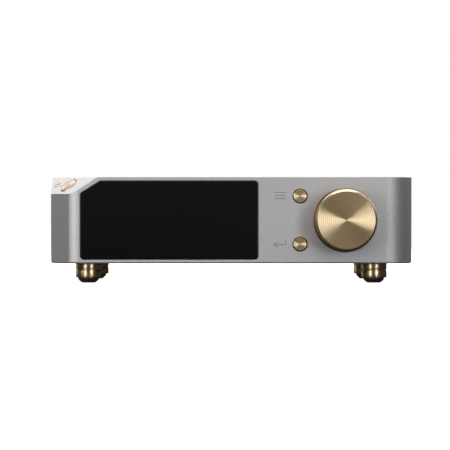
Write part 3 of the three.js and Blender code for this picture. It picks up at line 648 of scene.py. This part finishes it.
# ------------------------------------------------------------------ feet
for where in ("front_left", "front_right", "rear_left", "rear_right"):
    lo, hi = ends(f"foot_{where}")
    x, y = (lo[0] + hi[0]) / 2, (lo[1] + hi[1]) / 2
    R, top = 9.4, hi[2]
    line = [(7.3, 4.1), (7.6, 3.7), (R, 3.7), (R, 8.6), (R - 0.4, 8.75), (R - 0.4, 9.6), (R, 9.75), (R, top), (2.4, top), (2.4, 10), (4.2, 10), (4.2, 7), (7.3, 7)]
    line = round_line(line, [0, 0.1, 0.3, 0.2, 0.1, 0.1, 0.2, 0.2, 0.2, 0.1, 0.1, 0.2, 0.1], 4, True)
    f = lathe(f"foot_body_{where}", line, (x, y, 0), (0, 0, 1), 128, 24, True)
    piece(f, "bronze", "chassis", [f"foot_{where}"])
    line = round_line([(0, 0), (4.8, 0), (6.9, 1.7), (7.6, 2.9), (7.6, 3.55), (7.0, 3.6), (7.0, 6.7), (0, 6.7)], [0, 0.6, 0.8, 0.4, 0.2, 0.1, 0.3, 0], 5)
    p = lathe(f"foot_pad_{where}", line, (x, y, 0), (0, 0, 1), 96, 24)
    piece(p, "rubber", "chassis", [f"pad_{where}"])


# ------------------------------------------------------------------ rear panel and sockets
def soften(node, key, width=0.25, segments=2):
    """a CAD node that keeps its shape, with its split corners welded and its edges eased"""
    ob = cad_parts[node]
    w = ob.modifiers.new("weld", "WELD")
    w.merge_threshold = 1e-6
    if width:
        bevel(ob, width, segments, 30)
    ob.data.polygons.foreach_set("use_smooth", [True] * len(ob.data.polygons))
    even = ob.modifiers.new("even", "WEIGHTED_NORMAL")
    even.mode = "FACE_AREA"
    even.weight = 100
    even.keep_sharp = True
    dress(ob, key)
    return ob


soften("rear_panel", "silver", 0.25)
soften("bottom_plate", "black_metal", 0.25)


for i in range(1, 5):
    lo, hi = ends(f"rear_screw_{i}")
    x, z = (lo[0] + hi[0]) / 2, (lo[2] + hi[2]) / 2
    head = lathe(f"rear_fixing_{i}", round_line([(0, lo[1]), (1.5, lo[1]), (1.5, RB + 0.3), (2.8, RB + 0.3), (2.8, RB + 2.1), (0, RB + 2.1)], [0, 0.3, 0, 0.1, 0.8, 0], 5), (x, 0, z), (0, 1, 0), 48, 30)
    hexa = [(x + 1.45 * math.cos(math.radians(60 * k + 15)), z + 1.45 * math.sin(math.radians(60 * k + 15))) for k in range(6)]
    boolean(head, stack("t", [(hexa, RB + 0.9), (hexa, RB + 3)], onY, None))
    head.data.set_sharp_from_angle(angle=math.radians(30))
    piece(head, "dark_steel", "chassis", [f"rear_screw_{i}"])

# mains inlet
lo, hi = ends("iec_inlet")
ix, iz = (lo[0] + hi[0]) / 2, (lo[2] + hi[2]) / 2


def iec(hw, hh, c, r=0.6):
    pts = [(ix - hw, iz - hh), (ix + hw, iz - hh), (ix + hw, iz + hh - c), (ix + hw - c, iz + hh), (ix - hw + c, iz + hh), (ix - hw, iz + hh - c)]
    return round_line(pts, [r] * 6, 4, True)


body = plate("mains_inlet_body", iec(16.5, 13, 3, 1.5), RB + 0.3, RB + 2.3, onY, 0.4, 40)
boolean(body, stack("t", [(iec(13.8, 10.3, 3), RB - 19), (iec(13.8, 10.3, 3), RB + 1)], onY, None), "UNION")
boolean(body, stack("t", [(iec(12.2, 8.3, 3.5), RB - 15), (iec(12.2, 8.3, 3.5), RB + 3)], onY, None))
body.data.set_sharp_from_angle(angle=math.radians(30))
bevel(body, 0.2, 2, 40)
apply(body)
piece(body, "black_plastic", "chassis", ["iec_inlet"])
for k, (dx, dz) in enumerate(((-7, -1.9), (7, -1.9), (0, 2.1))):
    b = plate(f"mains_blade_{k + 1}", rect(ix + dx - 1, ix + dx + 1, iz + dz - 2, iz + dz + 2), RB - 15.5, RB - 1.5, onY, 0.25, 40)
    piece(b, "steel", "chassis")
    t = plate(f"mains_tag_{k + 1}", rect(ix + dx - 0.5, ix + dx + 0.5, iz + dz - 2.4, iz + dz + 2.4), RB - 26, RB - 18.5, onY, 0.15, 40)
    piece(t, "steel", "chassis")

# balanced sockets
for node in ("xlr_left", "xlr_right"):
    lo, hi = ends(node)
    x, z = (lo[0] + hi[0]) / 2, (lo[2] + hi[2]) / 2
    line = round_line(rect(x - 13, x + 13, z - 15.5, z + 15.5), [2.5] * 4, 8, True)
    f = plate(f"{node}_flange", line, RB + 0.3, RB + 2.0, onY, 0.4, 40)
    boolean(f, stack("t", [(circle(x, z, 11.5, 96), RB - 16), (circle(x, z, 11.5, 96), RB + 1)], onY, None), "UNION")
    boolean(f, stack("t", [(circle(x, z, 8.0, 96), RB - 12), (circle(x, z, 8.0, 96), RB + 3)], onY, None))
    for sx, sz in ((-9.5, 12), (9.5, -12)):
        boolean(f, stack("t", [(circle(x + sx, z + sz, 1.6, 32), RB - 1), (circle(x + sx, z + sz, 1.6, 32), RB + 4)], onY, None))
    f.data.set_sharp_from_angle(angle=math.radians(30))
    bevel(f, 0.25, 2, 50)
    apply(f)
    piece(f, "black_metal", "chassis", [node])
    ringp = round_line([(8.15, RB + 1.7), (8.15, RB + 2.3), (10.2, RB + 2.3), (10.2, RB + 1.7)], [0, 0.25, 0.25, 0], 4, True)
    piece(lathe(f"{node}_ring", ringp, (x, 0, z), (0, 1, 0), 96, 30, True), "steel", "chassis")
    piece(lathe(f"{node}_insert", round_line([(0, RB - 11.95), (7.8, RB - 11.95), (7.8, RB - 11.2), (0, RB - 11.2)], [0, 0.1, 0.2, 0], 3), (x, 0, z), (0, 1, 0), 64, 30), "black_plastic", "chassis")
    for k, (dx, dz) in enumerate(((-4.9, 0), (4.9, 0), (0, -4.9))):
        pin = lathe(f"{node}_pin_{k + 1}", round_line([(0, RB - 11.3), (1.2, RB - 11.3), (1.2, RB - 0.5), (0, RB - 0.5)], [0, 0, 0.9, 0], 6), (x + dx, 0, z + dz), (0, 1, 0), 32, 40)
        piece(pin, "brass", "chassis")
    for k, (sx, sz) in enumerate(((-9.5, 12), (9.5, -12))):
        s = lathe(f"{node}_flange_screw_{k + 1}", round_line([(0, RB + 0.4), (1.4, RB + 0.4), (1.4, RB + 2.05), (2.4, RB + 2.05), (2.2, RB + 2.3), (0, RB + 2.3)], [0, 0, 0, 0.1, 0.15, 0], 3), (x + sx, 0, z + sz), (0, 1, 0), 40, 30)
        hexa = [(x + sx + 0.95 * math.cos(math.radians(60 * i)), z + sz + 0.95 * math.sin(math.radians(60 * i))) for i in range(6)]
        boolean(s, stack("t", [(hexa, RB + 1.3), (hexa, RB + 3)], onY, None))
        s.data.set_sharp_from_angle(angle=math.radians(30))
        piece(s, "dark_steel", "chassis")

# phono sockets
for node, ring_key in (("rca_left", "white_plastic"), ("rca_right", "red_plastic"), ("coax_in", "black_plastic")):
    lo, hi = ends(node)
    x, z, tip = (lo[0] + hi[0]) / 2, (lo[2] + hi[2]) / 2, hi[1]
    prof = [(3.0, RB + 2.4), (3.0, tip - 0.1), (3.1, tip), (3.9, tip), (4.15, tip - 0.3), (4.15, RB + 2.2), (6.2, RB + 2.2), (6.2, RB + 1.2), (6.2, RB + 0.3), (3.5, RB + 0.3), (3.5, RB - 14), (2.5, RB - 14), (2.5, RB + 2.4)]
    prof = round_line(prof, [0.1, 0.05, 0.1, 0.2, 0.2, 0.3, 0.3, 0, 0.1, 0.1, 0.1, 0.1, 0.1], 3, True)
    piece(lathe(f"{node}_collar", prof, (x, 0, z), (0, 1, 0), 96, 30, True), "brass", "chassis", [node])
    ins = round_line([(1.6, RB + 2.5), (1.6, tip - 0.6), (2.9, tip - 0.6), (2.9, RB + 2.5)], [0, 0.15, 0.15, 0], 3, True)
    piece(lathe(f"{node}_insulator", ins, (x, 0, z), (0, 1, 0), 64, 30, True), ring_key, "chassis")

# optical socket
lo, hi = ends("optical_in")
ox, oz = (lo[0] + hi[0]) / 2, (lo[2] + hi[2]) / 2
b = plate("optical_body", round_line(rect(ox - 7, ox + 7, oz - 6, oz + 6), [0.8] * 4, 4, True), RB - 12, RB + 0.8, onY, 0.3, 40)
hole = round_line([(ox - 4.4, oz - 4.4), (ox + 4.4, oz - 4.4), (ox + 4.4, oz + 2.6), (ox + 2.6, oz + 4.4), (ox - 2.6, oz + 4.4), (ox - 4.4, oz + 2.6)], [0.3] * 6, 3, True)
boolean(b, stack("t", [(hole, RB - 9), (hole, RB + 2)], onY, None))
b.data.set_sharp_from_angle(angle=math.radians(30))
bevel(b, 0.2, 2, 50)
apply(b)
piece(b, "black_plastic", "chassis", ["optical_in"])
piece(lathe("optical_lens", round_line([(0, RB - 9.5), (1.1, RB - 9.5), (1.1, RB - 6), (0, RB - 6)], [0, 0, 0.3, 0], 4), (ox, 0, oz), (0, 1, 0), 32, 30), "white_plastic", "chassis")

# USB socket
lo, hi = ends("usb_b_port")
ux, uz = (lo[0] + hi[0]) / 2, (lo[2] + hi[2]) / 2
b = plate("usb_shell", round_line(rect(ux - 6, ux + 6, uz - 5.4, uz + 5.4), [0.5] * 4, 4, True), RB - 15, RB + 0.8, onY, 0.2, 40)
hole = round_line([(ux - 4.3, uz - 3.9), (ux + 4.3, uz - 3.9), (ux + 4.3, uz + 2.2), (ux + 2.7, uz + 3.9), (ux - 2.7, uz + 3.9), (ux - 4.3, uz + 2.2)], [0.3] * 6, 3, True)
boolean(b, stack("t", [(hole, RB - 10), (hole, RB + 2)], onY, None))
b.data.set_sharp_from_angle(angle=math.radians(30))
bevel(b, 0.15, 2, 50)
apply(b)
piece(b, "steel", "chassis", ["usb_b_port"])
piece(plate("usb_tongue", rect(ux - 2.8, ux + 2.8, uz - 1.6, uz + 1.4), RB - 9.9, RB - 1, onY, 0.25, 40), "white_plastic", "chassis")

# ------------------------------------------------------------------ inner and small CAD pieces keep their shape
for node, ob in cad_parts.items():
    if ob.hide_render or node in ("rear_panel", "bottom_plate"):
        continue
    if node.startswith(("foot_screw", "bottom_screw", "rear_screw", "knob_set")) or node in ("encoder_shaft", "encoder_body", "encoder_nut", "encoder_washer", "display_bracket", "shield_can", "transformer_bolt"):
        soften(node, "dark_steel" if "screw" in node else "steel", 0.12)
    elif node.endswith("board"):
        soften(node, "board", 0.1)
    elif node == "transformer":
        soften(node, "winding", 0.8)
    elif node == "lcd_panel":
        soften(node, "inside", 0.2)
    else:
        soften(node, "black_plastic", 0.12)

# ------------------------------------------------------------------ floor, light and camera
def stage_plane(name, size, z):
    me = bpy.data.meshes.new(name)
    s = size / 2
    me.from_pydata([(-s, -s, z), (s, -s, z), (s, s, z), (-s, s, z)], [], [(0, 1, 2, 3)])
    ob = link(bpy.data.objects.new(name, me))
    return ob


floor = stage_plane("floor", 14.0, 0.0)
m = bpy.data.materials.new("floor_pale")
m.use_nodes = True
nt = m.node_tree
nt.nodes.clear()
out = add(nt, "ShaderNodeOutputMaterial")
em = add(nt, "ShaderNodeEmission", Color=(1, 1, 1, 1))
fc = add(nt, "ShaderNodeTexCoord")
fd = add(nt, "ShaderNodeVectorMath", operation="LENGTH")
nt.links.new(fc.outputs["Object"], fd.inputs[0])
nt.links.new(ranged(nt, fd.outputs["Value"], 1.0, 1.05, 0.25, 0.7), em.inputs["Strength"])
df = add(nt, "ShaderNodeBsdfDiffuse", Color=(0.85, 0.85, 0.85, 1))
ad = add(nt, "ShaderNodeAddShader")
nt.links.new(em.outputs[0], ad.inputs[0])
nt.links.new(df.outputs[0], ad.inputs[1])
nt.links.new(ad.outputs[0], out.inputs[0])
floor.data.materials.append(m)
floor.visible_diffuse = False
floor.visible_glossy = False
floor.visible_shadow = False

world = bpy.data.worlds.new("studio")
scene.world = world
world.use_nodes = True
nt = world.node_tree
nt.nodes.clear()
out = add(nt, "ShaderNodeOutputWorld")
lp = add(nt, "ShaderNodeLightPath")
mix = add(nt, "ShaderNodeMixShader")
seen = add(nt, "ShaderNodeBackground", Color=(1, 1, 1, 1), Strength=1.0)
lit = add(nt, "ShaderNodeBackground", Strength=0.0960)
lit.name = "fill"
wc = add(nt, "ShaderNodeTexCoord")
sep = add(nt, "ShaderNodeSeparateXYZ")
nt.links.new(wc.outputs["Generated"], sep.inputs[0])
nt.links.new(tinted(nt, ranged(nt, sep.outputs["Z"], 0, 1, -0.25, 0.35), (0.36, 0.34, 0.32), (1, 1, 1)), lit.inputs["Color"])
nt.links.new(lp.outputs["Is Camera Ray"], mix.inputs[0])
nt.links.new(lit.outputs[0], mix.inputs[1])
nt.links.new(seen.outputs[0], mix.inputs[2])
nt.links.new(mix.outputs[0], out.inputs[0])

# name, azimuth (0 is in front, positive to the right), elevation, distance, width, height, power
LIGHTS = [
    ("strip_left", -29, 0.6, 1.6, 0.38, 0.46, 3.200),
    ("strip_right", 25, 3.4, 1.6, 0.34, 0.50, 3.914),
    ("front_high", 2, 27, 1.0, 1.3, 0.26, 1.851),
    ("side_left", -51, 15, 1.2, 0.4, 0.26, 3.866),
    ("side_right", 112, 26, 1.3, 0.8, 0.6, 1.758),
    ("left_rear", -126, 6, 1.2, 0.5, 0.5, 0.781),
    ("overhead", 0, 88, 1.1, 0.9, 0.6, 3.536),
    ("upper_right", 50, 42, 1.3, 0.8, 0.5, 1.050),
    ("back_left", -165, 46, 1.3, 1.6, 1.3, 15.366),
    ("back_right", 145, 33, 1.4, 1.0, 0.8, 5.000),
]
target = Vector((0, 0, ZC)) * MM
TINT = {"strip_left": (0.93, 1.02, 1.08), "strip_right": (0.93, 1.02, 1.08), "front_high": (1.05, 1.0, 0.91)}
for name, az, el, dist, w, h, power in LIGHTS:
    a, e = math.radians(az), math.radians(el)
    d = Vector((math.sin(a) * math.cos(e), -math.cos(a) * math.cos(e), math.sin(e)))
    ld = bpy.data.lights.new(name, "AREA")
    ld.shape = "RECTANGLE"
    ld.size, ld.size_y = w, h
    ld.energy = power
    ld.color = TINT.get(name, (1.0, 1.0, 1.0))
    lo = link(bpy.data.objects.new(name, ld))
    lo.location = target + d * dist
    lo.rotation_mode = "QUATERNION"
    lo.rotation_quaternion = (-d).to_track_quat("-Z", "Y")
    lo.visible_camera = False

scene.view_settings.view_transform = "Standard"
scene.view_settings.look = "None"

CAM_DIST = 2000.0
cam_data = bpy.data.cameras.new("camera")
cam_data.sensor_width = 36.0
cam_data.lens = 2801.0 / 450.0 * 36.0
cam_data.clip_start, cam_data.clip_end = 0.1, 20.0
PX, PY = 225.0 + 6.2, 207.0      # where the camera's axis meets the picture
cam_data.shift_x = (225.0 - PX) / 450.0
cam_data.shift_y = (PY - 225.0) / 450.0
cam = link(bpy.data.objects.new("camera", cam_data))
cam.location = Vector((0.0, YF - CAM_DIST, ZC + (220.15 - PY) / 1.4005)) * MM
cam.rotation_euler = (math.pi / 2, 0, 0)
scene.camera = cam

bpy.context.view_layer.update()
